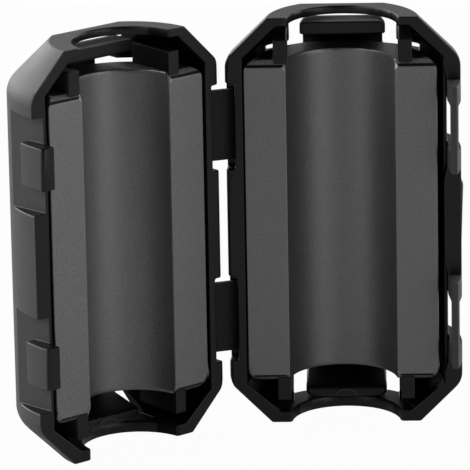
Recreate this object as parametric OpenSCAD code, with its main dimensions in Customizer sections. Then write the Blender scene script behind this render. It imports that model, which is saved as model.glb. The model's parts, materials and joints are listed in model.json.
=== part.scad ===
// Clip-on ferrite bead, standing open on its lower end.
// Millimetres, +Z up along the cable. The latch half faces -Y, and the catch half hangs from it on two film hinges.

/* [Ferrite cores] */
// Outer diameter of the ferrite ring that the two cores make
core_od = 16; // [14:0.5:20]
// Bore of the ferrite ring, which the cable runs through
core_bore = 9; // [6:0.5:10]
// Length of the cores along the cable
core_length = 27.5; // [24:0.5:40]
// Rounding of a core's outer end edges
core_round = 1; // [0.3:0.1:1.5]
// Bevel along the ends of a core's mating faces
core_bevel = 0.55; // [0.1:0.05:0.6]

/* [Case] */
// Clearance between a core and the case, all round
core_play = 0.3; // [0.1:0.05:0.6]
// Clearance between each end of a core and its stops
end_play = 0.1; // [0.05:0.05:0.3]
// Side wall of the case
wall = 1.45; // [1.3:0.05:2.5]
// Wall of the sloped ends
slope_wall = 0.95; // [0.7:0.05:1.2]
// Flat wall at each end
end_wall = 0.6; // [0.4:0.05:1]
// How far the case reaches past the cores at each end
end_reach = 3.75; // [3.6:0.05:5]
// Size of the 45 degree slope at each end
slope = 3.5; // [3:0.05:3.6]
// Rounding where the slope meets the side
slope_round = 1.8; // [0.5:0.1:3]
// Clearance of the end holes around the bore
hole_play = 0.05; // [0:0.05:0.3]
// How far the end holes are drawn towards the open side, to hug a thinner cable
hole_shift = 0.25; // [0:0.05:0.4]
// Rounding of the rim's outer edge on the hinge side, which lets the halves roll past each other
rim_round = 0.4; // [0.35:0.05:0.6]
// Gap left between the two halves when the clip is shut
parting_gap = 0.1; // [0.06:0.02:0.3]

/* [Cable tongues] */
// How far the flat back face cuts into the end of the case
flat_cut = 1.05; // [0.7:0.05:1.2]
// Width of the window that frees each tongue
window_width = 9; // [8:0.25:10]
// How far the window reaches down past the core stops
window_drop = 0.7; // [0.4:0.05:1]
// Width of the window over that stretch, where it also frees the feet of the stops
sill_width = 12.9; // [11:0.1:14]
// Width of each tongue
tongue_width = 6.7; // [4:0.1:7.4]
// Thickness of each tongue
tongue_thickness = 0.85; // [0.6:0.05:1.2]
// Distance from the cable axis to a tongue's tip
tongue_grip = 2.7; // [2:0.1:4]
// Gap between a tongue's tip and the end wall
tongue_gap = 0.45; // [0.3:0.05:1]
// Rounding of a tongue's two corners
tongue_corner = 0.7; // [0.2:0.1:1.5]

/* [Core stops] */
// Width of the posts that stop a core from sliding out
post_width = 1.15; // [0.8:0.05:1.6]
// Length of those posts along the cable
post_length = 1.75; // [1:0.05:2.3]
// Distance from the cable axis to a post's inner side
post_offset = 4.6; // [4.5:0.1:5.2]
// How far the posts stand back from the parting plane
post_setback = 0.2; // [0:0.1:1]

/* [Film hinges] */
// Opening angle in which the clip stands, 0 is shut and 180 is flat
opening = 139; // [90:0.5:180]
// Distance of the two hinges from the middle of the case
hinge_place = 8.3; // [6:0.1:10]
// Width of each strap along the cable
strap_width = 6; // [3:0.1:8]
// Thickness of each strap
strap_thickness = 0.4; // [0.3:0.05:0.6]
// Depth of the fold line behind the parting plane
fold_depth = 1.1; // [0.8:0.05:1.6]
// Depth of the fold line below the outer surface
fold_inset = 0.55; // [0.4:0.05:0.65]
// Clearance round the rounded ends of a strap
fold_play = 0.02; // [0.02:0.01:0.05]
// Room beside a strap in its notch
strap_room = 0.65; // [0.2:0.05:1]

/* [Latches] */
// Distance of the two latches from the middle of the case
latch_place = 8.4; // [6:0.1:9]
// Length of each latch loop along the cable
loop_length = 7.45; // [6:0.05:8]
// Width of the opening in each loop
loop_opening = 3.9; // [3:0.1:4.5]
// Thickness of a loop where it leaves the wall
loop_root = 1.15; // [1.1:0.05:1.2]
// Thickness of a loop at its tip
loop_tip = 0.5; // [0.4:0.05:0.6]
// Height of the bar that closes a loop
bar_height = 0.6; // [0.4:0.05:1]
// Depth of a catch's holding face below the parting plane
catch_depth = 1.9; // [1.5:0.1:2.4]
// How far a catch stands past the parting plane
catch_rise = 1.2; // [0.8:0.1:1.6]
// Radial thickness of a catch's nose
nose_width = 0.6; // [0.4:0.05:0.8]
// Slant at each end of the room that the noses enter
nose_slant = 1.2; // [0.4:0.1:2]
// Clearance between a loop and what it closes round
latch_play = 0.15; // [0.1:0.05:0.3]
// Clearance behind the bar, between it and a catch's holding face
bar_play = 0.05; // [0.03:0.01:0.2]

/* [Hidden] */
$fn = 96;

// Case outline, worked out from the cores it has to hold
core_r = core_od / 2;
bore_r = core_bore / 2;
core_end = core_length / 2;
pocket_r = core_r + core_play;
case_r = pocket_r + wall;
case_end = core_end + end_reach;
end_r = case_r - slope;
flat_depth = end_r - flat_cut;
knee = case_end - slope;
hole_r = bore_r + hole_play;
stop_end = core_end + end_play;
ceiling = case_end - end_wall;
sill = stop_end - window_drop;
// The inside of the slope lies where r + z is this value
slope_inside = case_r + knee - slope_wall * sqrt(2);
// The latch half's core leans towards the hinge by part of its clearance
core_lean = core_play * 2 / 3;

// Film hinge: fold lines in the latch half and, shut, in the catch half
fold_x = fold_inset - case_r;
strap_length = 2 * fold_depth + parting_gap;
seat = strap_thickness / 2 + fold_play;
fold = opening / 2;

// Latches: the loop's tip and the slot behind its root
loop_reach = parting_gap + catch_depth + bar_play + bar_height;
tip_outer = sqrt(pow(case_r, 2) - pow(loop_reach, 2));
tip_inner = tip_outer - loop_tip;
root_inner = case_r - loop_root;
bar_back = loop_reach - bar_height;

far = 3 * case_r;
cut = 1;
CASE_BLACK = "#28282a";
STRAP_BLACK = "#1c1c1e";
FERRITE_GREY = "#5a5b5c";

// Lifts what is drawn about the middle of the case, so that its lower end stands at zero
module standing() {
    translate([0, 0, case_end]) children();
}

// The half of space behind the parting plane
module behind() {
    translate([-far, 0, -2 * case_end]) cube([2 * far, far, 4 * case_end]);
}

// Everything past the flat back face at the upper end, moved in by a distance
module past_flat(inset = 0) {
    translate([0, flat_depth, case_end]) rotate([45, 0, 0])
        translate([-far, -inset, -far]) cube([2 * far, far, 2 * far]);
}

module both_ends() {
    children();
    mirror([0, 0, 1]) children();
}

// Outline of the whole case, from the axis outward, with its shoulder rounded
module case_outline() {
    tangent = slope_round * tan(22.5);
    shoulder = [case_r - tangent * sin(45), knee + tangent * cos(45)];
    polygon([
        [0, -case_end], [end_r, -case_end], [shoulder.x, -shoulder.y], [case_r, tangent - knee],
        [case_r, knee - tangent], shoulder, [end_r, case_end], [0, case_end]
    ]);
    for (side = [-1, 1])
        translate([case_r - slope_round, side * (knee - tangent)]) circle(slope_round);
}

// Solid form of one half: a half round bar with sloped ends and a flat back face at each end
module half_form() {
    difference() {
        rotate_extrude() intersection() {
            case_outline();
            translate([0, -far]) square([far, 2 * far]);
        }
        mirror([0, 1, 0]) behind();
        both_ends() past_flat();
        translate([-case_r, 0, 0]) linear_extrude(2 * case_end, center = true) difference() {
            translate([-cut, -cut]) square(rim_round + cut);
            translate([rim_round, rim_round]) circle(rim_round);
        }
    }
}

// Room inside one half: the core's pocket, the hollow ends and the cable's way out
module half_room() {
    cylinder(r = pocket_r, h = 2 * stop_end, center = true);
    difference() {
        rotate_extrude() polygon([
            [0, -ceiling], [slope_inside - ceiling, -ceiling], [pocket_r, pocket_r - slope_inside],
            [pocket_r, slope_inside - pocket_r], [slope_inside - ceiling, ceiling], [0, ceiling]
        ]);
        both_ends() past_flat(slope_wall);
    }
    translate([0, -hole_shift, 0]) cylinder(r = hole_r, h = 2 * (case_end + cut), center = true);
}

// Window through the back at the upper end, from the end wall down past the stops, and wider below them
module tongue_window() {
    translate([-window_width / 2, tongue_grip, sill]) cube([window_width, far, ceiling - sill]);
    translate([-sill_width / 2, tongue_grip, sill]) cube([sill_width, far, window_drop]);
}

// Front view of a tongue, with its two free corners rounded
module tongue_front(foot, tip) {
    half = tongue_width / 2;
    translate([-half, foot]) square([tongue_width, tip - tongue_corner - foot]);
    translate([tongue_corner - half, foot]) square([tongue_width - 2 * tongue_corner, tip - foot]);
    for (side = [-1, 1])
        translate([side * (half - tongue_corner), tip - tongue_corner]) circle(tongue_corner);
}

// Tongue that leans in from the foot of the window, over the end of the core, and grips the cable
module tongue() {
    foot = sill - cut;
    tip = ceiling - tongue_gap;
    lean = atan2(pocket_r - tongue_grip, tip - stop_end);
    rise = tongue_thickness / sin(lean);
    intersection() {
        half_form();
        rotate([90, 0, 90]) linear_extrude(tongue_width, center = true) polygon([
            [tongue_grip, tip], [tongue_grip, tip + rise], [pocket_r, stop_end + rise],
            [far, stop_end + rise], [far, foot], [pocket_r, foot], [pocket_r, stop_end]
        ]);
        rotate([90, 0, 0]) linear_extrude(2 * far, center = true) tongue_front(foot, tip);
    }
}

// Posts that stop the core from sliding towards the end, with a foot that follows the core's bevel
module core_stops() {
    depth = sqrt(pow(slope_inside - stop_end - post_length, 2) - pow(post_offset, 2));
    foot = max(core_bevel - post_setback, 0);
    for (side = [0, 1]) mirror([side, 0, 0])
        translate([post_offset + post_width, 0, stop_end]) rotate([90, 0, -90])
            linear_extrude(post_width) polygon([
                [-post_setback, -foot], [-post_setback - foot, 0], [-depth, 0],
                [-depth, post_length], [-post_setback, post_length]
            ]);
}

// Notch in the hinge edge that takes one end of a strap
module strap_notch(z) {
    translate([-case_r - cut, -cut, z - strap_width / 2 - strap_room])
        cube([fold_x + seat + case_r + cut, fold_depth + seat + cut, strap_width + 2 * strap_room]);
}

// What the two halves share
module half_shell() {
    difference() {
        half_form();
        half_room();
        both_ends() tongue_window();
        for (z = [-hinge_place, hinge_place]) strap_notch(z);
    }
    both_ends() {
        tongue();
        core_stops();
    }
}

// Slot behind one loop, and the room in the rim that a catch's nose enters
module nose_slot(z) {
    half = loop_length / 2;
    translate([root_inner, -cut, z - loop_opening / 2]) cube([far, far, loop_opening]);
    nose_room = catch_rise + latch_play;
    translate([0, nose_room, z]) rotate([90, 0, 0]) linear_extrude(nose_room + cut) polygon([
        [0, -half - nose_slant], [pocket_r, -half - nose_slant], [root_inner, -half],
        [root_inner, half], [pocket_r, half + nose_slant], [0, half + nose_slant]
    ]);
}

module latch_shell() {
    color(CASE_BLACK) standing() difference() {
        half_shell();
        for (z = [-latch_place, latch_place]) nose_slot(z);
    }
}

// One latch loop: a tapered frame that stands past the parting plane
module latch_loop(z) {
    color(CASE_BLACK) standing() translate([0, 0, z]) difference() {
        linear_extrude(loop_length, center = true) intersection() {
            circle(case_r);
            polygon([[root_inner, 0], [tip_inner, -loop_reach], [far, -loop_reach], [far, 0]]);
        }
        translate([0, -bar_back, -loop_opening / 2]) cube([far, bar_back + cut, loop_opening]);
    }
}

// Flat landing for a loop on the outside of the catch half, tapered like the inside of the loop
module landing_cut(z) {
    top = root_inner - bar_play;
    foot = tip_inner - bar_play;
    translate([0, -parting_gap, z]) linear_extrude(loop_length + 4 * latch_play, center = true) polygon([
        [top, -cut], [top, 0], [2 * foot - top, 2 * loop_reach], [far, 2 * loop_reach], [far, -cut]
    ]);
}

// One catch: a block with a holding face, and a nose that leads the loop over it
module catch(z) {
    block = loop_opening - 2 * latch_play;
    nose_out = root_inner + nose_width - latch_play;
    translate([0, 0, z]) linear_extrude(block, center = true) intersection() {
        circle(case_r);
        polygon([
            [pocket_r, catch_depth], [far, catch_depth], [far, -catch_rise / 2], [nose_out, -catch_rise],
            [nose_out - nose_width, -catch_rise], [pocket_r, 0]
        ]);
    }
}

// Moves the catch half and the straps from shut to the opening angle, about one fold line
module fold_about(y) {
    translate([fold_x, y, 0]) rotate([0, 0, -fold]) translate([-fold_x, -y, 0]) children();
}

// Places a half drawn behind the parting plane where the catch half stands
module as_catch_half() {
    standing() fold_about(fold_depth) fold_about(fold_depth - strap_length)
        translate([0, -parting_gap, 0]) mirror([0, 1, 0]) children();
}

module catch_shell() {
    color(CASE_BLACK) as_catch_half() {
        difference() {
            half_shell();
            for (z = [-latch_place, latch_place]) landing_cut(z);
        }
        for (z = [-latch_place, latch_place]) catch(z);
    }
}

// One strap with rounded ends that turn in the two notches
module hinge_strap(z) {
    color(STRAP_BLACK) standing() fold_about(fold_depth)
        translate([fold_x, fold_depth, z - strap_width / 2]) {
            translate([-strap_thickness / 2, -strap_length, 0])
                cube([strap_thickness, strap_length, strap_width]);
            for (y = [0, -strap_length])
                translate([0, y, 0]) cylinder(r = strap_thickness / 2, h = strap_width);
        }
}

// Outline of the ferrite ring's section, with rounded outer corners
module core_outline() {
    corner = [core_r - core_round, core_end - core_round];
    polygon([
        [bore_r, -core_end], [corner.x, -core_end], [core_r, -corner.y], [core_r, corner.y],
        [corner.x, core_end], [bore_r, core_end]
    ]);
    for (side = [-1, 1])
        translate([corner.x, side * corner.y]) circle(core_round);
}

// Half ring of ferrite, bevelled at both ends of its mating faces and resting on the lower stops
module core() {
    translate([0, 0, -end_play]) difference() {
        rotate_extrude() core_outline();
        mirror([0, 1, 0]) behind();
        both_ends() translate([0, 0, core_end - core_bevel]) rotate([45, 0, 0])
            translate([-far, -far, 0]) cube(2 * far);
    }
}

module latch_core() {
    color(FERRITE_GREY) standing() translate([-core_lean, 0, 0]) core();
}

module catch_core() {
    color(FERRITE_GREY) as_catch_half() core();
}

latch_shell();
catch_shell();
hinge_strap(hinge_place);  // hinge_strap_upper
hinge_strap(-hinge_place);  // hinge_strap_lower
latch_loop(latch_place);  // latch_loop_upper
latch_loop(-latch_place);  // latch_loop_lower
latch_core();
catch_core();
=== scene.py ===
"""Clip-on ferrite bead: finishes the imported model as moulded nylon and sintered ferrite, in a small studio.

Lengths in the settings are in metres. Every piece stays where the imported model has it.
"""

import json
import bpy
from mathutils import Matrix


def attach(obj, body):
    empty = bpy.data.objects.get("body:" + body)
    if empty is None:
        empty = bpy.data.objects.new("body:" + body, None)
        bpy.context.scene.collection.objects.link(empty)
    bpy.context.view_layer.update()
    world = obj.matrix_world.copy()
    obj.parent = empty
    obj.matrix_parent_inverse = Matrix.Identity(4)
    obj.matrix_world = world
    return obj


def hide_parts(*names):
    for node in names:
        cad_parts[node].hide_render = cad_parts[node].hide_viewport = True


bl_info = {
    "name": "Clip-on Ferrite Bead",
    "version": (1, 0, 0),
    "blender": (4, 5, 0),
    "location": "View3D > Sidebar > Ferrite Clip",
    "description": "Finishes a split ferrite bead in its hinged nylon case and lights it in a small studio",
    "category": "Object",
}

from collections import namedtuple

import bmesh
import bpy
import numpy as np
from bpy.props import FloatProperty, FloatVectorProperty, PointerProperty
from bpy.types import Operator, Panel, PropertyGroup
from mathutils import Matrix, Vector

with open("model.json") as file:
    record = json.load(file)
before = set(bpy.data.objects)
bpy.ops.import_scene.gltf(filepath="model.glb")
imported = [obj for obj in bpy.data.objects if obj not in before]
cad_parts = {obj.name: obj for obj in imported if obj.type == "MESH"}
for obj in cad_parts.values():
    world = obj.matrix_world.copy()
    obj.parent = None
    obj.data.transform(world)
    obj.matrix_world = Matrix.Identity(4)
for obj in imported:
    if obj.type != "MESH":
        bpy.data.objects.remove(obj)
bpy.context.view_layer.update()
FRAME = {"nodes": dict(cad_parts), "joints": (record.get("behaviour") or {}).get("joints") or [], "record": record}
MM = 0.001

# These lengths are in millimetres. A half's own rows are: across from its cable axis towards its latches,
# into its depth, and up from the middle of the case, which is MIDDLE above its lower end. Heights are counted
# from the middle towards either end. A face further out than END_FACE is part of an end. SLOPE is the upright
# part of the normal of a face that slopes by 45 degrees.
MIDDLE = 17.5
CASE_RADIUS = 9.75
END_FACE = 17.4
SLOPE = np.sqrt(0.5)

# What the solids have: depth of a tongue's tip, heights of its faces there, and depth and height of the edge
# where its inner face meets the round wall; height of an end wall's inner face; half width of a cable hole at
# its toes; and the box that holds a catch's front edges, as least distance across and greatest depth.
CAD_TIP = 2.7
CAD_INNER, CAD_OUTER = 15.7, 16.46
CAD_ROOT = (8.3, 13.85)
CAD_CEILING = 16.9
CAD_TOE = 4.54
CAD_CATCH = (9.6, -1.1)
# A vertex of a core is in its upper end above CORE_END, and beside the bore nearer the axis than BORE_SIDE.
CORE_END = 12
BORE_SIDE = 5

# How scene.py changes them. An end has its side of the middle, the height of its wall's inner face and its
# tongue: how far the tip is wider on each side, the depth of the tip, the depth to which the outer face is
# level, and the heights of the outer and inner faces at the tip. The solid's tongue is flattened and stays
# inside.
End = namedtuple("End", "side ceiling flare tip level_end outer inner")
ENDS = {
    "upper": End(side=1, ceiling=16.77, flare=0.18, tip=3.45, level_end=5.2, outer=16.45, inner=15.25),
    "lower": End(side=-1, ceiling=16.5, flare=0.04, tip=3.6, level_end=5.5, outer=16.4, inner=15.5),
}
TONGUE_HALF = 3.38
TONGUE_ROOT = 14.5
TIP_INSIDE = 0.15
TIP_FLATTENED = 0.7
TOE_RADIUS = 0.3
CATCH_RADIUS = 0.35
# Lift of a core's upper end, and width of the dark line along its bevels, which is a painted shadow line.
CORE_LIFT = 0.19
BEVEL_LINE = 0.2

# Places of the finishes on the case's pieces, where the third is painted shade, darker, deep in a shell and a
# painted highlight, paler, round an upper tongue's rim, and on the cores, where the second is a painted
# shadow line and the third is paler, painted light on the bevels.
SMOOTH, GRAINED, THIRD = 0, 1, 2
GROUND, PAINTED_SHADOW_LINE, PALE_LIT = 0, 1, 2

# Roughness, bump strength and specular level that each finish of the mould gives. The deep one's weak specular,
# with its dark colour, is painted shade.
MOULD = {"smooth": (0.36, 0.2, 0.35), "grained": (0.56, 0.6, 0.5), "deep": (0.5, 0.2, 0.1)}


def linear(colour):
    """Linear red, green and blue of an sRGB hex colour such as "#1c1c1d"."""
    srgb = np.array([int(colour[i : i + 2], 16) for i in (1, 3, 5)]) / 255
    return tuple(np.where(srgb <= 0.04045, srgb / 12.92, ((srgb + 0.055) / 1.055) ** 2.4).tolist())


class CaseSettings(PropertyGroup):
    """Moulded nylon case, with its loops and film hinges."""

    nylon: FloatVectorProperty(
        name="Grained nylon", description="Colour of the case outside, where the mould is spark-eroded",
        subtype="COLOR", min=0, max=1, default=linear("#3c3c3c"),
    )
    polished: FloatVectorProperty(
        name="Polished nylon", description="Colour of the rims, the ledges and the film hinges",
        subtype="COLOR", min=0, max=1, default=linear("#090909"),
    )
    # This darker colour is painted shade on the walls deep inside the case.
    deep: FloatVectorProperty(
        name="Nylon painted as shade", description="Colour of the walls deep inside the case",
        subtype="COLOR", min=0, max=1, default=linear("#060606"),
    )
    # This pale colour is a painted highlight round the rims of the upper tongues, where the back lamps would catch
    # them.
    painted_highlight: FloatVectorProperty(
        name="Nylon with painted highlight", description="Colour of the worn rim round the upper tongues",
        subtype="COLOR", min=0, max=1, default=linear("#707070"),
    )
    edge: FloatProperty(
        name="Edge radius", description="Radius that the mould leaves on an outer edge", unit="LENGTH",
        min=0.02 * MM, max=0.3 * MM, default=0.12 * MM, precision=5,
    )
    thin_edge: FloatProperty(
        name="Thin edge radius", description="Edge radius on the loops", unit="LENGTH",
        min=0.02 * MM, max=0.15 * MM, default=0.08 * MM, precision=5,
    )
    tongue_edge: FloatProperty(
        name="Tongue edge", description="Radius round the blunt tip of a tongue", unit="LENGTH",
        min=0.1 * MM, max=0.35 * MM, default=0.26 * MM, precision=5,
    )
    grain: FloatProperty(
        name="Grain", description="Size of the spark-eroded grain on the mould", unit="LENGTH",
        min=0.05 * MM, max=1 * MM, default=0.17 * MM, precision=5,
    )


class CoreSettings(PropertyGroup):
    """Sintered ferrite half cores."""

    ferrite: FloatVectorProperty(
        name="Ferrite", description="Colour of the sintered ferrite",
        subtype="COLOR", min=0, max=1, default=linear("#3c3c3c"),
    )
    # This dark colour is a painted shadow line at the foot of each bevel.
    skin: FloatVectorProperty(
        name="Painted shadow line", description="Colour of the unground line along each bevel",
        subtype="COLOR", min=0, max=1, default=linear("#0a0a0a"),
    )
    # This pale colour is painted light on the bevels, where top light falls; the inner chips take it too.
    pale_lit: FloatVectorProperty(
        name="Ferrite painted pale as light", description="Colour of the broken corners and the bevels",
        subtype="COLOR", min=0, max=1, default=linear("#666666"),
    )
    edge: FloatProperty(
        name="Edge radius", description="Tumbled edge radius of the cores", unit="LENGTH",
        min=0.02 * MM, max=0.4 * MM, default=0.1 * MM, precision=5,
    )
    corner: FloatProperty(
        name="Corner", description="How far the corners of the mating faces are broken", unit="LENGTH",
        min=0.1 * MM, max=0.6 * MM, default=0.36 * MM, precision=5,
    )
    speckle: FloatProperty(
        name="Speckle", description="Size of the speckle in the sintered surface", unit="LENGTH",
        min=0.05 * MM, max=1 * MM, default=0.2 * MM, precision=5,
    )


class StudioSettings(PropertyGroup):
    """Camera, lamps, floor and world."""

    floor: FloatVectorProperty(
        name="Floor", description="Colour of the floor",
        subtype="COLOR", min=0, max=1, default=linear("#a8a8a8"),
    )
    lens: FloatProperty(
        name="Lens", description="Focal length of the camera", subtype="DISTANCE_CAMERA",
        min=50, max=1000, default=386.93,
    )
    power: FloatProperty(
        name="Power", description="Power of all the lamps together", subtype="POWER", unit="POWER",
        min=0, default=4.76,
    )
    reach: FloatProperty(
        name="Reach", description="Distance from the object to each lamp", unit="LENGTH",
        min=0.1, max=2, default=0.45,
    )
    sheen: FloatProperty(
        name="Table sheen", description="How bright the white table looks in a glossy surface",
        min=0, max=1, default=0.25,
    )
    backdrop: FloatProperty(
        name="Backdrop", description="How bright the white backdrop looks in a glossy surface",
        min=0, max=1, default=0.3,
    )
    wall: FloatProperty(
        name="Wall", description="Level of the light that comes off the room's left wall",
        min=0, max=2, default=1.07,
    )


def half_axes(half):
    """Foot of a half's cable axis, with unit vectors towards its latches and into its depth.

    The catch half is the latch half mirrored across the parting plane and turned back by both folds.
    """
    seat = next(mount for mount in FRAME["record"]["mounts"] if mount["name"] == f"{half}_cable_seat")
    folds = [
        joint["range_deg"][1] for joint in FRAME["joints"] if joint["name"] in ("strap_fold", "catch_fold")]
    turn, flip = (0, 1) if half == "latch" else (-np.radians(sum(folds)), -1)
    across = np.array((np.cos(turn), np.sin(turn), 0))
    depth = flip * np.array((-np.sin(turn), np.cos(turn), 0))
    return np.array(seat["pos_m"]), across, depth


def add(tree, kind, settings=None, inputs=None):
    """Adds one node, gives it its settings, and links or sets each named input."""
    node = tree.nodes.new(kind)
    for name, value in (settings or {}).items():
        setattr(node, name, value)
    for name, value in (inputs or {}).items():
        if isinstance(value, bpy.types.NodeSocket):
            tree.links.new(value, node.inputs[name])
        else:
            node.inputs[name].default_value = value
    return node


def empty_material(name):
    """A new material whose node tree holds nothing yet."""
    material = bpy.data.materials.new(name)
    material.use_nodes = True
    material.node_tree.nodes.clear()
    return material, material.node_tree


def tint(colour, factor):
    """A colour socket's value, lighter or darker by a factor."""
    return (*(min(channel * factor, 1) for channel in colour), 1)


def moulded_nylon(settings, name, tone, finish):
    """Black PA66 out of a mould: a fine satin grain, patchy only where the melt met the wall colder.

    The mould is spark-eroded on the outside, which leaves it dull and grainy. On rims and ledges its steel is
    smooth. On walls deep inside, a darker colour with weak specular is painted shade. Round the upper tongues,
    a paler colour is a painted highlight. The grain is drawn coarser than the real one, so that it shows.
    """
    rough, bumpy, specular = MOULD[finish]
    material, tree = empty_material(name)
    place = add(tree, "ShaderNodeTexCoord").outputs["Object"]
    grain = add(tree, "ShaderNodeTexNoise", inputs={
        "Vector": place, "Scale": 1 / settings.grain, "Detail": 3, "Roughness": 0.6})
    flow = add(tree, "ShaderNodeTexNoise", inputs={"Vector": place, "Scale": 1 / (4 * MM), "Detail": 2})
    colour = add(tree, "ShaderNodeMix", {"data_type": "RGBA"}, {
        "Factor": grain.outputs["Fac"], "A": tint(tone, 0.6), "B": tint(tone, 1.4)})
    patch = add(tree, "ShaderNodeMapRange", inputs={
        "Value": flow.outputs["Fac"], "From Min": 0.3, "From Max": 0.7,
        "To Min": rough - 0.04, "To Max": rough + 0.04})
    bump = add(tree, "ShaderNodeBump", inputs={
        "Strength": bumpy, "Distance": 0.01 * MM, "Height": grain.outputs["Fac"]})
    shader = add(tree, "ShaderNodeBsdfPrincipled", inputs={
        "Base Color": colour.outputs["Result"], "Roughness": patch.outputs["Result"], "IOR": 1.53,
        "Specular IOR Level": specular, "Normal": bump.outputs["Normal"]})
    add(tree, "ShaderNodeOutputMaterial", inputs={"Surface": shader.outputs["BSDF"]})
    return material


def case_finishes(settings):
    """The case's three finishes, made once: rims and ledges, then the outside, then walls deep inside, painted
    darker as shade.
    """
    wanted = (
        ("Polished black nylon", settings.polished, "smooth"),
        ("Grained black nylon", settings.nylon, "grained"),
        ("Black nylon painted as shade", settings.deep, "deep"))
    return [bpy.data.materials.get(wish[0]) or moulded_nylon(settings, *wish) for wish in wanted]


def film_nylon(settings):
    """The same nylon as a thin film: drawn out along its folds, so it is duller, with fine creases."""
    material, tree = empty_material("Nylon film hinge")
    place = add(tree, "ShaderNodeTexCoord").outputs["Object"]
    drawn = add(tree, "ShaderNodeMapping", inputs={"Vector": place, "Scale": (1, 1, 0.12)})
    crease = add(tree, "ShaderNodeTexNoise", inputs={
        "Vector": drawn.outputs["Vector"], "Scale": 1 / (0.25 * MM), "Detail": 2})
    grain = add(tree, "ShaderNodeTexNoise", inputs={
        "Vector": place, "Scale": 1 / settings.grain, "Detail": 2})
    colour = add(tree, "ShaderNodeMix", {"data_type": "RGBA"}, {
        "Factor": crease.outputs["Fac"],
        "A": tint(settings.polished, 0.6), "B": tint(settings.polished, 1.1)})
    sheen = add(tree, "ShaderNodeMapRange", inputs={
        "Value": grain.outputs["Fac"], "From Min": 0.3, "From Max": 0.7, "To Min": 0.6, "To Max": 0.68})
    bump = add(tree, "ShaderNodeBump", inputs={
        "Strength": 0.5, "Distance": 0.01 * MM, "Height": crease.outputs["Fac"]})
    shader = add(tree, "ShaderNodeBsdfPrincipled", inputs={
        "Base Color": colour.outputs["Result"], "Roughness": sheen.outputs["Result"], "IOR": 1.53,
        "Specular IOR Level": 0.35, "Normal": bump.outputs["Normal"]})
    add(tree, "ShaderNodeOutputMaterial", inputs={"Surface": shader.outputs["BSDF"]})
    return material


def sintered_ferrite(settings, name, tone, index=2.5):
    """Nickel-zinc ferrite: dull grey ceramic, speckled and pitted at the size of its grit.

    Its high refractive index gives it a metallic sheen. The dark line painted as shadow at each bevel's foot
    has a low one. The bevels are painted paler as light, and the inner broken corners take that pale colour.
    """
    material, tree = empty_material(name)
    place = add(tree, "ShaderNodeTexCoord").outputs["Object"]
    speckle = add(tree, "ShaderNodeTexNoise", inputs={
        "Vector": place, "Scale": 1 / settings.speckle, "Detail": 3, "Roughness": 0.7})
    cloud = add(tree, "ShaderNodeTexNoise", inputs={"Vector": place, "Scale": 1 / (2.5 * MM), "Detail": 3})
    grains = add(tree, "ShaderNodeMapRange", inputs={
        "Value": speckle.outputs["Fac"], "From Min": 0.32, "From Max": 0.68, "To Min": 0, "To Max": 1})
    grit = add(tree, "ShaderNodeMix", {"data_type": "RGBA"}, {
        "Factor": grains.outputs["Result"], "A": tint(tone, 0.35), "B": tint(tone, 1.8)})
    shade = add(tree, "ShaderNodeMapRange", inputs={
        "Value": cloud.outputs["Fac"], "From Min": 0.3, "From Max": 0.7, "To Min": 0.94, "To Max": 1.06})
    colour = add(tree, "ShaderNodeVectorMath", {"operation": "SCALE"}, {
        "Vector": grit.outputs["Result"], "Scale": shade.outputs["Result"]})
    dull = add(tree, "ShaderNodeMapRange", inputs={
        "Value": speckle.outputs["Fac"], "From Min": 0.3, "From Max": 0.7, "To Min": 0.35, "To Max": 0.43})
    bump = add(tree, "ShaderNodeBump", inputs={
        "Strength": 0.7, "Distance": 0.05 * MM, "Height": speckle.outputs["Fac"]})
    shader = add(tree, "ShaderNodeBsdfPrincipled", inputs={
        "Base Color": colour.outputs["Vector"], "Roughness": dull.outputs["Result"], "IOR": index,
        "Normal": bump.outputs["Normal"]})
    add(tree, "ShaderNodeOutputMaterial", inputs={"Surface": shader.outputs["BSDF"]})
    return material


def near(values, target, margin=0.02):
    """Which values lie within a margin of a target."""
    return np.abs(values - target) < margin


def face_table(mesh):
    """Centres and normals of a mesh's faces, each as a row of three."""
    table = np.empty((2, 3 * len(mesh.polygons)))
    mesh.polygons.foreach_get("center", table[0])
    mesh.polygons.foreach_get("normal", table[1])
    return table.reshape(2, -1, 3)


def paint(mesh, places):
    """Gives each face of a mesh the material at its place, or all of them the same one."""
    mesh.polygons.foreach_set("material_index", np.full(len(mesh.polygons), places, dtype=np.int32))


def finish_outside(mesh, half):
    """Gives the grained finish to faces turned from the cable axis and to both ends, the third, painted shade, to
    walls.

    A face is judged by the part of its unit normal that points away from the axis, into the depth or upright.
    """
    foot, _, depth = half_axes(half)
    centre, normal = face_table(mesh)
    out = (centre - foot) * (1, 1, 0)
    outward = np.sum(normal * out, axis=1) / np.linalg.norm(out, axis=1)
    end = (np.abs(centre[:, 2] - MIDDLE * MM) > END_FACE * MM) & (np.abs(normal[:, 2]) > 0.9)
    outer = ((outward > 0.25) & (normal @ depth > -0.3)) | end
    # Walls that face sideways take the darker deep finish, which is painted shade.
    wall = (np.abs(normal[:, 2]) < 0.75) & (normal @ depth > -0.5)
    paint(mesh, np.select((outer, wall), (GRAINED, THIRD), SMOOTH))


def local_rows(points, half):
    """Points as rows of millimetres across a half, into its depth, and up from the middle of the case."""
    foot, across, depth = half_axes(half)
    out = (points - foot) / MM
    return np.stack((out @ across, out @ depth, out[:, 2] - MIDDLE), axis=1)


def placed(rows, half):
    """Model points of rows that are in a half's own millimetres, the inverse of local_rows."""
    foot, across, depth = half_axes(half)
    flat = rows.reshape(-1, 3)
    points = foot + MM * (flat[:, :1] * across + flat[:, 1:2] * depth + (flat[:, 2:] + MIDDLE) * (0, 0, 1))
    return points.reshape(rows.shape)


def vertex_rows(mesh, half):
    """A mesh's vertices in a half's own millimetres."""
    points = np.empty(3 * len(mesh.vertices))
    mesh.vertices.foreach_get("co", points)
    return local_rows(points.reshape(-1, 3), half)


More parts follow.
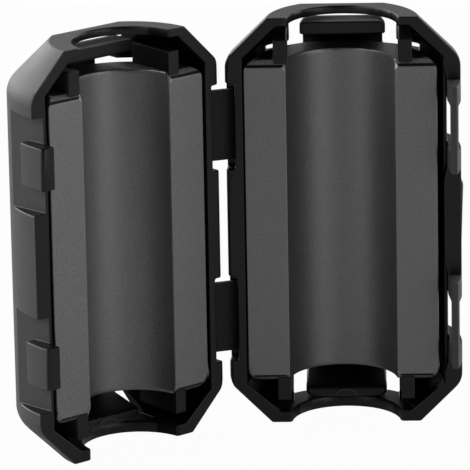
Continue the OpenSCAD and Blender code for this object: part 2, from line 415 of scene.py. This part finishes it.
def merged_copy(node, name, change=None):
    """Object with a copy of a CAD node's mesh, its triangles joined into faces, then changed if wanted."""
    mesh = FRAME["nodes"][node].data.copy()
    mesh.name = name
    body = bmesh.new()
    body.from_mesh(mesh)
    bmesh.ops.remove_doubles(body, verts=body.verts, dist=0.002 * MM)
    bmesh.ops.dissolve_limit(body, angle_limit=np.radians(0.5), verts=body.verts, edges=body.edges)
    if change:
        change(body)
    body.to_mesh(mesh)
    body.free()
    piece = bpy.data.objects.new(name, mesh)
    bpy.context.scene.collection.objects.link(piece)
    return piece


def round_edges(piece, radius):
    """Gives every sharp edge of a piece a radius."""
    bevel = piece.modifiers.new("Edge radius", "BEVEL")
    bevel.width = radius
    bevel.segments = 2
    bevel.limit_method = "ANGLE"
    bevel.angle_limit = np.radians(30)
    bevel.use_clamp_overlap = False
    bevel.harden_normals = True
    bevel.miter_outer = "MITER_ARC"


def bake(piece):
    """Turns what a piece's modifiers make into its own mesh."""
    plain = piece.data
    piece.data = bpy.data.meshes.new_from_object(piece.evaluated_get(bpy.context.evaluated_depsgraph_get()))
    piece.modifiers.clear()
    piece.data.name = piece.name
    bpy.data.meshes.remove(plain)


def true_walls(mesh, half):
    """Turns the normals of a half's round outside straight away from the cable axis.

    On the side wall the normal is the unit vector from the axis, and on a shoulder it leans by 45 degrees
    towards the end, so neither shows the facets of the solid's mesh.
    """
    across, depth = half_axes(half)[1:]
    vertex = np.empty(len(mesh.loops), dtype=np.int32)
    mesh.loops.foreach_get("vertex_index", vertex)
    corners = np.empty(len(mesh.polygons), dtype=np.int32)
    mesh.polygons.foreach_get("loop_total", corners)
    normals = np.empty(3 * len(mesh.loops))
    mesh.corner_normals.foreach_get("vector", normals)
    rows = vertex_rows(mesh, half)[vertex]
    radius = np.hypot(rows[:, 0], rows[:, 1])
    radial = (rows[:, :1] * across + rows[:, 1:2] * depth) / radius[:, None]
    flat = np.repeat(face_table(mesh)[1], corners, axis=0)
    facing, lean = np.sum(flat * radial, axis=1), flat[:, 2]
    wall = near(lean, 0, 0.05) & (facing > 0.98) & near(radius, CASE_RADIUS, 0.03)
    shoulder = near(np.abs(lean), SLOPE, 0.03) & (facing > 0.68)
    true = radial + np.where(shoulder, np.sign(lean), 0)[:, None] * (0, 0, 1)
    true /= np.linalg.norm(true, axis=1, keepdims=True)
    mesh.normals_split_custom_set(np.where((wall | shoulder)[:, None], true, normals.reshape(-1, 3)).tolist())


def wear(piece, materials):
    """Gives a piece its materials, in order."""
    piece.data.materials.clear()
    for material in materials:
        piece.data.materials.append(material)


def loft(name, rings):
    """Object whose skin runs through closed rings (ring, point, xyz), with one flat face at each end.

    Between two rings each pair of neighbouring points makes a four-sided face. The winding is turned round
    where the summed tetrahedra from the middle of the points to every side give a negative volume, so that
    faces look outward.
    """
    count, size = rings.shape[:2]
    ring, point = np.meshgrid(np.arange(count - 1), np.arange(size), indexing="ij")
    after = (point + 1) % size
    sides = np.stack((ring, ring, ring + 1, ring + 1), -1) * size + np.stack((point, after, after, point), -1)
    sides = sides.reshape(-1, 4)
    points = rings.reshape(-1, 3)
    corners = points[sides] - points.mean(axis=0)
    volume = np.sum(np.cross(corners[:, 0], corners[:, 1]) * corners[:, 2])
    volume += np.sum(np.cross(corners[:, 0], corners[:, 2]) * corners[:, 3])
    caps = [list(range(size))[::-1], list(range((count - 1) * size, count * size))]
    faces = sides.tolist() + caps
    if volume < 0:
        faces = [face[::-1] for face in faces]
    mesh = bpy.data.meshes.new(name)
    mesh.from_pydata(points.tolist(), [], faces)
    mesh.polygons.foreach_set("use_smooth", np.arange(len(faces)) < len(sides))
    piece = bpy.data.objects.new(name, mesh)
    bpy.context.scene.collection.objects.link(piece)
    return piece


class FERRITE_CLIP_OT_case_shells(Operator):
    """Finish the two moulded halves of the case"""

    bl_idname = "ferrite_clip.case_shells"
    bl_label = "Case shells"

    def execute(self, context):
        settings = context.scene.ferrite_clip_case
        for half in ("latch", "catch"):
            piece = merged_copy(
                f"{half}_shell", f"{half.capitalize()}_shell", lambda body: self.soften(body, half))
            self.settle(piece.data, half)
            wear(piece, case_finishes(settings))
            finish_outside(piece.data, half)
            round_edges(piece, settings.edge)
            bake(piece)
            true_walls(piece.data, half)
            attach(piece, f"{half}_half")
            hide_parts(f"{half}_shell")
        return {"FINISHED"}

    def soften(self, body, half):
        """Rounds the toes beside the cable holes and the front edge of each catch."""
        edges = np.array(list(body.edges), dtype=object)
        ends = np.array([[vertex.co for vertex in edge.verts] for edge in edges])
        rows = local_rows(ends.reshape(-1, 3), half).reshape(-1, 2, 3)
        across, depth, height = np.abs(rows[..., 0]), rows[..., 1], np.abs(rows[..., 2])
        toe = near(across, CAD_TOE) & near(depth, 0) & (height > CAD_CEILING - 0.1)
        front = (across > CAD_CATCH[0]) & (depth < CAD_CATCH[1])
        for chosen, radius in ((toe, TOE_RADIUS), (front, CATCH_RADIUS)):
            bmesh.ops.bevel(
                body, geom=edges[chosen.all(axis=1)].tolist(), offset=radius * MM, offset_type="OFFSET",
                segments=4, profile=0.5, affect="EDGES", clamp_overlap=True)

    def settle(self, mesh, half):
        """Shifts three sets of vertices: tongue tips back and low, their roots higher, end walls inward."""
        rows = vertex_rows(mesh, half)
        height = np.abs(rows[:, 2])
        middle = np.abs(rows[:, 0]) < TONGUE_HALF
        tongue = middle & (rows[:, 1] > CAD_TIP - 0.1) & (height > CAD_INNER) & (height < CAD_OUTER)
        root = middle & near(rows[:, 1], CAD_ROOT[0]) & near(height, CAD_ROOT[1])
        ceiling = near(height, CAD_CEILING, 0.01)
        height = np.where(tongue, CAD_INNER + TIP_FLATTENED * (height - CAD_INNER), height)
        height = np.where(root, TONGUE_ROOT, height)
        for end in ENDS.values():
            here = end.side * rows[:, 2] > 0
            tip = here & tongue & (rows[:, 1] < CAD_TIP + 1.8)
            rows[:, 1] += np.where(tip, end.tip - CAD_TIP + TIP_INSIDE, 0)
            rows[:, 2] = np.where(here, end.side * np.where(ceiling, end.ceiling, height), rows[:, 2])
        mesh.vertices.foreach_set("co", placed(rows, half).ravel())
        mesh.update()


class FERRITE_CLIP_OT_cable_tongues(Operator):
    """Add the four cable tongues' blunt, rounded tips, with a gate mark on the two lower ones"""

    bl_idname = "ferrite_clip.cable_tongues"
    bl_label = "Cable tongues"

    def execute(self, context):
        settings = context.scene.ferrite_clip_case
        edge = settings.tongue_edge / MM
        # The upper tongues' rims take a pale painted highlight.
        painted_highlight = moulded_nylon(settings, "Black nylon with painted highlight", settings.painted_highlight, "grained")
        finishes = (*case_finishes(settings)[:THIRD], painted_highlight)
        for half in ("latch", "catch"):
            across = half_axes(half)[1]
            for name, end in ENDS.items():
                piece = loft(f"{half.capitalize()}_tongue_{name}", placed(self.tongue_rings(edge, end), half))
                wear(piece, finishes)
                normal = face_table(piece.data)[1]
                outer = end.side * normal[:, 2] > 0.4
                rim = outer | (np.abs(normal @ across) > 0.5)
                # An upper tongue's rim and sides get the painted highlight; a lower tongue's outer face is
                # grained.
                faces, place = (rim, THIRD) if name == "upper" else (outer, GRAINED)
                paint(piece.data, np.where(faces, place, SMOOTH))
                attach(piece, f"{half}_half")
            piece = loft(f"{half.capitalize()}_gate_mark", placed(self.mark_rings(edge, ENDS["lower"]), half))
            wear(piece, finishes)
            paint(piece.data, GRAINED)
            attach(piece, f"{half}_half")
        return {"FINISHED"}

    def tongue_rings(self, edge, end):
        """Sections of a tongue from its tip into its root, each a rectangle with rounded corners.

        The outer face is level as far as level_end and then falls, and the inner face falls evenly all the
        way. Over the first stretch each section shrinks by edge * (1 - sin a) at depth edge * (1 - cos a), a
        quarter round. The tip keeps its full width for 0.8 mm and has lost four fifths of the flare after
        1.2 mm.
        """
        outer_corner, inner_corner, least = 0.55, 0.2, 0.05
        turn = np.linspace(0, np.pi / 2, 7)
        shoulder, neck, foot = end.tip + 0.8, end.tip + 1.2, 8.2
        onward = (shoulder, neck, end.level_end, 6.0, 7.2, 8.5)
        into = np.concatenate((end.tip + edge * (1 - np.cos(turn)), onward))
        shrink = np.concatenate((edge * (1 - np.sin(turn)), np.zeros(len(onward))))
        outer = np.interp(into, (end.level_end, foot), (end.outer, TONGUE_ROOT + 0.5)) - shrink
        inner = np.interp(into, (end.tip, foot), (end.inner, TONGUE_ROOT)) + shrink
        half = TONGUE_HALF + end.flare * np.interp(into, (end.tip, shoulder, neck), (1, 1, 0.2)) - shrink
        quarters = []
        for start, (x_way, z_way, face, corner) in enumerate((
            (1, 1, outer, outer_corner), (-1, 1, outer, outer_corner),
            (-1, -1, inner, inner_corner), (1, -1, inner, inner_corner),
        )):
            radius = np.maximum(corner - shrink, least)[:, None]
            angle = start * np.pi / 2 + turn
            quarters.append(np.stack((
                x_way * (half[:, None] - radius) + radius * np.cos(angle),
                np.repeat(into[:, None], len(turn), 1),
                face[:, None] - z_way * radius + radius * np.sin(angle)), axis=-1))
        return np.concatenate(quarters, axis=1) * (1, 1, end.side)

    def mark_rings(self, edge, end):
        """A thin half ring on the blunt face of a tongue: half an ellipse, swept by a circle.

        At angle a the ellipse is wide * cos a across and tall * sin a under its ends, which lie under the
        outer face, and it follows the tip's face back where that is rounded.
        """
        wide, tall, under, thin = 0.9, 0.42, 0.2, 0.09
        sweep = np.linspace(0.1, np.pi - 0.1, 25)
        x, z = wide * np.cos(sweep), end.outer - under - tall * np.sin(sweep)
        past = np.maximum(z - (end.outer - edge), 0)
        y = end.tip + edge - np.sqrt(edge**2 - past**2)
        spine = np.stack((x, y, z), axis=1)
        along = np.gradient(spine, axis=0)
        along /= np.linalg.norm(along, axis=1, keepdims=True)
        outward = np.broadcast_to((0.0, -1.0, 0.0), along.shape)
        beside = np.cross(along, outward)
        turn = np.linspace(0, 2 * np.pi, 12, endpoint=False)[None, :, None]
        tube = spine[:, None] + thin * (np.cos(turn) * outward[:, None] + np.sin(turn) * beside[:, None])
        return tube * (1, 1, end.side)


class FERRITE_CLIP_OT_thumb_pad(Operator):
    """Add the low pad that swells the latch half's side between its loops"""

    bl_idname = "ferrite_clip.thumb_pad"
    bl_label = "Thumb pad"

    def execute(self, context):
        piece = loft("Thumb_pad", placed(self.pad_rings(), "latch"))
        wear(piece, [case_finishes(context.scene.ferrite_clip_case)[GRAINED]])
        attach(piece, "latch_half")
        return {"FINISHED"}

    def pad_rings(self):
        """Level sections from the pad's foot to its head, each between two arcs about the cable axis.

        Across the pad t runs from 0 to 1, and the outer arc stands rise * sin(pi * t**0.35) above an arc that
        is sunk into the side of the case, so it swells most beside the parting plane. The inner arc lies
        under it. The rise grows evenly from the foot to the brow and drops off round a quarter circle from
        there to the head.
        """
        foot, brow, head = -2, 2.9, 3.4
        sunk, swell, thick = 0.02, 0.18, 0.25
        first, span = 0.5, 25.5
        crown = brow + (head - brow) * np.sin(np.linspace(0.3, np.pi / 2, 6))
        height = np.concatenate((np.linspace(foot, brow, 14), crown))
        drop = np.sqrt(np.clip(1 - (np.maximum(height - brow, 0) / (head - brow)) ** 2, 0, 1))
        rise = (sunk + swell * np.clip((height - foot) / (brow - foot), 0, 1)) * drop
        across = np.linspace(0, 1, 21) ** 2
        outer = CASE_RADIUS - sunk + rise[:, None] * np.sin(np.pi * across**0.35)
        radius = np.concatenate((outer, np.full_like(outer, CASE_RADIUS - sunk - thick)), axis=1)
        angle = np.radians(first + span * np.concatenate((across, across[::-1])))
        level = np.broadcast_to(height[:, None], radius.shape)
        return np.stack((radius * np.cos(angle), radius * np.sin(angle), level), axis=-1)


class FERRITE_CLIP_OT_latch_loops(Operator):
    """Finish the two loops that snap over the catches"""

    bl_idname = "ferrite_clip.latch_loops"
    bl_label = "Latch loops"

    def execute(self, context):
        settings = context.scene.ferrite_clip_case
        for side in ("upper", "lower"):
            piece = merged_copy(f"latch_loop_{side}", f"Latch_loop_{side}")
            wear(piece, [case_finishes(settings)[GRAINED]])
            round_edges(piece, settings.thin_edge)
            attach(piece, f"{side}_loop")
            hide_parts(f"latch_loop_{side}")
        return {"FINISHED"}


class FERRITE_CLIP_OT_film_hinges(Operator):
    """Finish the two film hinges between the halves"""

    bl_idname = "ferrite_clip.film_hinges"
    bl_label = "Film hinges"

    def execute(self, context):
        film = film_nylon(context.scene.ferrite_clip_case)
        for side in ("upper", "lower"):
            strap = FRAME["nodes"][f"hinge_strap_{side}"]
            strap.data.materials.clear()
            strap.data.materials.append(film)
        return {"FINISHED"}


class FERRITE_CLIP_OT_ferrite_cores(Operator):
    """Finish the two half cores"""

    bl_idname = "ferrite_clip.ferrite_cores"
    bl_label = "Ferrite cores"

    def execute(self, context):
        settings = context.scene.ferrite_clip_cores
        ground = sintered_ferrite(settings, "Sintered ferrite", settings.ferrite)
        # A dark ferrite painted as a shadow line, and a pale one painted as light on the bevels.
        skin = sintered_ferrite(settings, "Ferrite painted shadow line", settings.skin, index=1.4)
        pale_lit = sintered_ferrite(settings, "Ferrite painted pale as light", settings.pale_lit)
        for half in ("latch", "catch"):
            piece = merged_copy(
                f"{half}_core", f"Ferrite_core_{half}", lambda body: self.split_strips(body, half))
            wear(piece, (ground, skin, pale_lit))
            self.mark_painted_shade_and_light(piece.data, half)
            self.break_corners(piece, half, settings)
            round_edges(piece, settings.edge)
            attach(piece, f"{half}_half")
            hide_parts(f"{half}_core")
        return {"FINISHED"}

    def split_strips(self, body, half):
        """Lifts the upper end by CORE_LIFT, then splits off a narrow strip along the foot of each bevel for the
        painted shadow line.
        """
        vertices = np.array(list(body.verts), dtype=object)
        rows = local_rows(np.array([vertex.co for vertex in vertices]), half)
        upper = rows[:, 2] > CORE_END
        bmesh.ops.translate(body, verts=vertices[upper].tolist(), vec=(0, 0, CORE_LIFT * MM))
        rows[upper, 2] += CORE_LIFT
        for level in self.bevel_feet(rows):
            bmesh.ops.bisect_plane(
                body, geom=[*body.verts, *body.edges, *body.faces], dist=0.001 * MM,
                plane_co=(0, 0, (MIDDLE + level + np.sign(level) * BEVEL_LINE) * MM), plane_no=(0, 0, 1))

    def bevel_feet(self, rows):
        """Heights at which the mating faces end, below and above the middle of the case."""
        face = rows[near(rows[:, 1], 0, 0.01) & (np.abs(rows[:, 0]) < BORE_SIDE), 2]
        return face.min(), face.max()

    def break_corners(self, piece, half, settings):
        """Cuts chips off the mating faces beside the bore and at the lower outer corners with one cutter."""
        solid, outer = self.chips(vertex_rows(piece.data, half), settings.corner / MM)
        first = 4 * np.arange(len(solid))[:, None, None]
        faces = first + np.array(((0, 1, 2), (0, 3, 1), (1, 3, 2), (2, 3, 0)))
        mesh = bpy.data.meshes.new("Chips")
        mesh.from_pydata(placed(solid, half).reshape(-1, 3).tolist(), [], faces.reshape(-1, 3).tolist())
        body = bmesh.new()
        body.from_mesh(mesh)
        bmesh.ops.recalc_face_normals(body, faces=body.faces)
        body.to_mesh(mesh)
        body.free()
        cutter = bpy.data.objects.new("Chips", mesh)
        wear(cutter, piece.data.materials)
        # Outer chips take the ground finish; inner chips take the pale colour that is painted light on the bevels.
        paint(mesh, np.repeat(np.where(outer, GROUND, PALE_LIT), 4))
        bpy.context.scene.collection.objects.link(cutter)
        cut = piece.modifiers.new("Chips", "BOOLEAN")
        cut.operation = "DIFFERENCE"
        cut.solver = "EXACT"
        cut.object = cutter
        bake(piece)
        bpy.data.objects.remove(cutter)
        bpy.data.meshes.remove(mesh)

    def chips(self, rows, size):
        """A tetrahedron for each corner to break (corner, point, xyz), and whether it is an outer corner.

        Its base runs from a point along the mating face's end, through one down its side, to one up the
        bevel, and an outer corner's base is the wider one. Scaled up by half about its centre it still cuts
        only the corner. Its tip stands 0.8 mm outside the core.
        """
        corners = []
        for level in self.bevel_feet(rows):
            end = rows[near(rows[:, 1], 0, 0.01) & near(rows[:, 2], level, 0.01), 0]
            corners += [(end[end < 0].max(), level, -1, 0), (end[end > 0].min(), level, 1, 0)]
            if level < 0:
                corners += [(end.min(), level, 1, 1), (end.max(), level, -1, 1)]
        x, level, way, outer = np.array(corners).T
        up = np.sign(level)
        zero = np.zeros_like(x)
        down, width, rise = size * np.array((1 + 0.5 * outer, 1 + 0.4 * outer, zero + 0.9))
        base = np.stack((
            np.stack((way * width, zero, zero), -1), np.stack((zero, zero, -up * down), -1),
            np.stack((zero, rise, up * rise), -1)), axis=1)
        centre = base.mean(axis=1, keepdims=True)
        tip = np.stack((-0.6 * way, zero - 0.8, 0.3 * up), -1)[:, None]
        corner = np.stack((x, zero, level), -1)[:, None]
        return corner + np.concatenate((centre + 1.5 * (base - centre), tip), axis=1), outer

    def mark_painted_shade_and_light(self, mesh, half):
        """Gives the painted shadow line to the narrow strip at each bevel's foot, and the pale painted light to
        its rest.
        """
        centre, normal = face_table(mesh)
        slant = near(np.abs(normal[:, 2]), SLOPE) & (normal @ half_axes(half)[2] < -0.6)
        strip = slant & (local_rows(centre, half)[:, 1] < BEVEL_LINE)
        paint(mesh, np.select((strip, slant), (PAINTED_SHADOW_LINE, PALE_LIT), GROUND))


def aim(place, target):
    """Matrix of a lamp or camera at a place whose -Z axis points at a target, with its X axis level."""
    back = (Vector(place) - Vector(target)).normalized()
    side = Vector((0, 0, 1)).cross(back).normalized()
    up = back.cross(side)
    return Matrix.Translation(place) @ Matrix((side, up, back)).transposed().to_4x4()


class FERRITE_CLIP_OT_studio(Operator):
    """Add the camera, the lamps, the floor and the white room"""

    bl_idname = "ferrite_clip.studio"
    bl_label = "Studio"

    def execute(self, context):
        settings = context.scene.ferrite_clip_studio
        scene = context.scene
        scene.view_settings.view_transform = "Standard"
        self.camera(scene, settings)
        self.lamps(scene, settings)
        self.floor(scene, settings)
        self.room(scene, settings)
        return {"FINISHED"}

    def camera(self, scene, settings):
        """A long lens, a little above the object and turned by one degree about its own axis."""
        azimuth, elevation, roll = np.radians((1.5539, 15.8677, -1.0602))
        target = Vector((-9.1321, 0, 16.4693)) * MM
        distance = 421.154 * MM
        back = Vector((
            np.sin(azimuth) * np.cos(elevation), -np.cos(azimuth) * np.cos(elevation), np.sin(elevation)))
        data = bpy.data.cameras.new("Camera")
        data.sensor_fit = "HORIZONTAL"
        data.sensor_width = 36
        data.lens = settings.lens
        data.clip_start = 10 * MM
        data.clip_end = 10
        camera = bpy.data.objects.new("Camera", data)
        camera.matrix_world = aim(target + distance * back, target) @ Matrix.Rotation(roll, 4, "Z")
        scene.collection.objects.link(camera)
        scene.camera = camera

    def lamps(self, scene, settings):
        """Six soft boxes in a low ring, each a square area lamp aimed at the object.

        Azimuths count from the camera's side, positive to its right, in degrees. Shares are of the whole
        power, and sizes are in millimetres.
        """
        middle = Vector((-9, 0, 17)) * MM
        for name, share, azimuth, elevation, size in (
            ("Left lamp", 0.20, -75, 34, 300),
            ("Right lamp", 0.16, 105, 8, 300),
            ("Back left lamp", 0.34, -140, 24, 360),
            ("Back right lamp", 0.14, 140, 22, 360),
            ("Front left lamp", 0.045, -45, 8, 300),
            ("Front right lamp", 0.115, 48, 8, 320),
        ):
            data = bpy.data.lights.new(name, "AREA")
            data.energy = share * settings.power
            data.size = size * MM
            lamp = bpy.data.objects.new(name, data)
            turn, lift = np.radians((azimuth, elevation))
            way = Vector((np.sin(turn) * np.cos(lift), -np.cos(turn) * np.cos(lift), np.sin(lift)))
            lamp.matrix_world = aim(middle + settings.reach * way, middle)
            scene.collection.objects.link(lamp)

    def floor(self, scene, settings):
        """A square floor, 3 m wide, that the camera sees nearly white, with the object's shadow faint."""
        whiteness, half = 0.97, 1.5
        material, tree = empty_material("White table")
        path = add(tree, "ShaderNodeLightPath")
        share = add(tree, "ShaderNodeMath", {"operation": "MULTIPLY"})
        tree.links.new(path.outputs["Is Glossy Ray"], share.inputs[0])
        share.inputs[1].default_value = settings.sheen
        seen = add(tree, "ShaderNodeMath", {"operation": "MULTIPLY_ADD"})
        tree.links.new(path.outputs["Is Camera Ray"], seen.inputs[0])
        seen.inputs[1].default_value = whiteness
        tree.links.new(share.outputs["Value"], seen.inputs[2])
        lit = add(tree, "ShaderNodeBsdfDiffuse", inputs={"Color": (*settings.floor, 1)})
        white = add(tree, "ShaderNodeEmission", inputs={"Strength": 1})
        mix = add(tree, "ShaderNodeMixShader")
        tree.links.new(seen.outputs["Value"], mix.inputs[0])
        tree.links.new(lit.outputs["BSDF"], mix.inputs[1])
        tree.links.new(white.outputs["Emission"], mix.inputs[2])
        add(tree, "ShaderNodeOutputMaterial", inputs={"Surface": mix.outputs["Shader"]})
        mesh = bpy.data.meshes.new("Floor")
        corners = [(-half, -half, 0), (half, -half, 0), (half, half, 0), (-half, half, 0)]
        mesh.from_pydata(corners, [], [(0, 1, 2, 3)])
        mesh.materials.append(material)
        floor = bpy.data.objects.new("Floor", mesh)
        scene.collection.objects.link(floor)

    def room(self, scene, settings):
        """White to the camera; as light, bright only about the middle of the left wall.

        Glossy surfaces also see a pale backdrop behind the object, which lights nothing else.
        """
        world = bpy.data.worlds.new("White room")
        world.use_nodes = True
        tree = world.node_tree
        tree.nodes.clear()
        way = add(tree, "ShaderNodeTexCoord").outputs["Generated"]
        lift = np.radians(10)
        leftward = add(tree, "ShaderNodeVectorMath", {"operation": "DOT_PRODUCT"})
        tree.links.new(way, leftward.inputs[0])
        leftward.inputs[1].default_value = (-np.cos(lift), 0, np.sin(lift))
        level = add(tree, "ShaderNodeMapRange", {"interpolation_type": "SMOOTHSTEP"}, {
            "Value": leftward.outputs["Value"], "From Min": 0.6, "From Max": 1,
            "To Min": 0, "To Max": settings.wall})
        axes = add(tree, "ShaderNodeSeparateXYZ", inputs={"Vector": way})
        behind = add(tree, "ShaderNodeMapRange", {"interpolation_type": "SMOOTHSTEP"}, {
            "Value": axes.outputs["Y"], "From Min": -0.1, "From Max": 0.5,
            "To Min": 0, "To Max": settings.backdrop})
        path = add(tree, "ShaderNodeLightPath")
        shown = add(tree, "ShaderNodeMath", {"operation": "MULTIPLY_ADD"})
        tree.links.new(path.outputs["Is Glossy Ray"], shown.inputs[0])
        tree.links.new(behind.outputs["Result"], shown.inputs[1])
        tree.links.new(level.outputs["Result"], shown.inputs[2])
        strength = add(tree, "ShaderNodeMix", {"data_type": "FLOAT"}, {
            "Factor": path.outputs["Is Camera Ray"], "A": shown.outputs["Value"], "B": 1.0})
        background = add(tree, "ShaderNodeBackground", inputs={
            "Color": (1, 1, 1, 1), "Strength": strength.outputs["Result"]})
        add(tree, "ShaderNodeOutputWorld", inputs={"Surface": background.outputs["Background"]})
        scene.world = world


class FERRITE_CLIP_PT_panel(Panel):
    """Sizes, colours and the pieces in the order that they are made"""

    bl_idname = "FERRITE_CLIP_PT_panel"
    bl_label = "Clip-on ferrite bead"
    bl_space_type = "VIEW_3D"
    bl_region_type = "UI"
    bl_category = "Ferrite Clip"

    def draw(self, context):
        for owner in SETTINGS:
            group = getattr(context.scene, owner)
            box = self.layout.box()
            for name in group.bl_rna.properties.keys():
                if name not in ("rna_type", "name"):
                    box.prop(group, name)
        for operator in OPERATORS:
            self.layout.operator(operator.bl_idname)


SETTINGS = {
    "ferrite_clip_case": CaseSettings,
    "ferrite_clip_cores": CoreSettings,
    "ferrite_clip_studio": StudioSettings,
}
OPERATORS = (
    FERRITE_CLIP_OT_studio,
    FERRITE_CLIP_OT_case_shells,
    FERRITE_CLIP_OT_cable_tongues,
    FERRITE_CLIP_OT_thumb_pad,
    FERRITE_CLIP_OT_latch_loops,
    FERRITE_CLIP_OT_film_hinges,
    FERRITE_CLIP_OT_ferrite_cores,
)
CLASSES = (*SETTINGS.values(), *OPERATORS, FERRITE_CLIP_PT_panel)


def register():
    for cls in CLASSES:
        bpy.utils.register_class(cls)
    for owner, group in SETTINGS.items():
        setattr(bpy.types.Scene, owner, PointerProperty(type=group))


def unregister():
    for owner in SETTINGS:
        delattr(bpy.types.Scene, owner)
    for cls in reversed(CLASSES):
        bpy.utils.unregister_class(cls)


def main():
    """Makes everything in order."""
    register()
    bpy.ops.ferrite_clip.studio()
    bpy.ops.ferrite_clip.case_shells()
    bpy.ops.ferrite_clip.cable_tongues()
    bpy.ops.ferrite_clip.thumb_pad()
    bpy.ops.ferrite_clip.latch_loops()
    bpy.ops.ferrite_clip.film_hinges()
    bpy.ops.ferrite_clip.ferrite_cores()


if __name__ == "__main__":
    main()
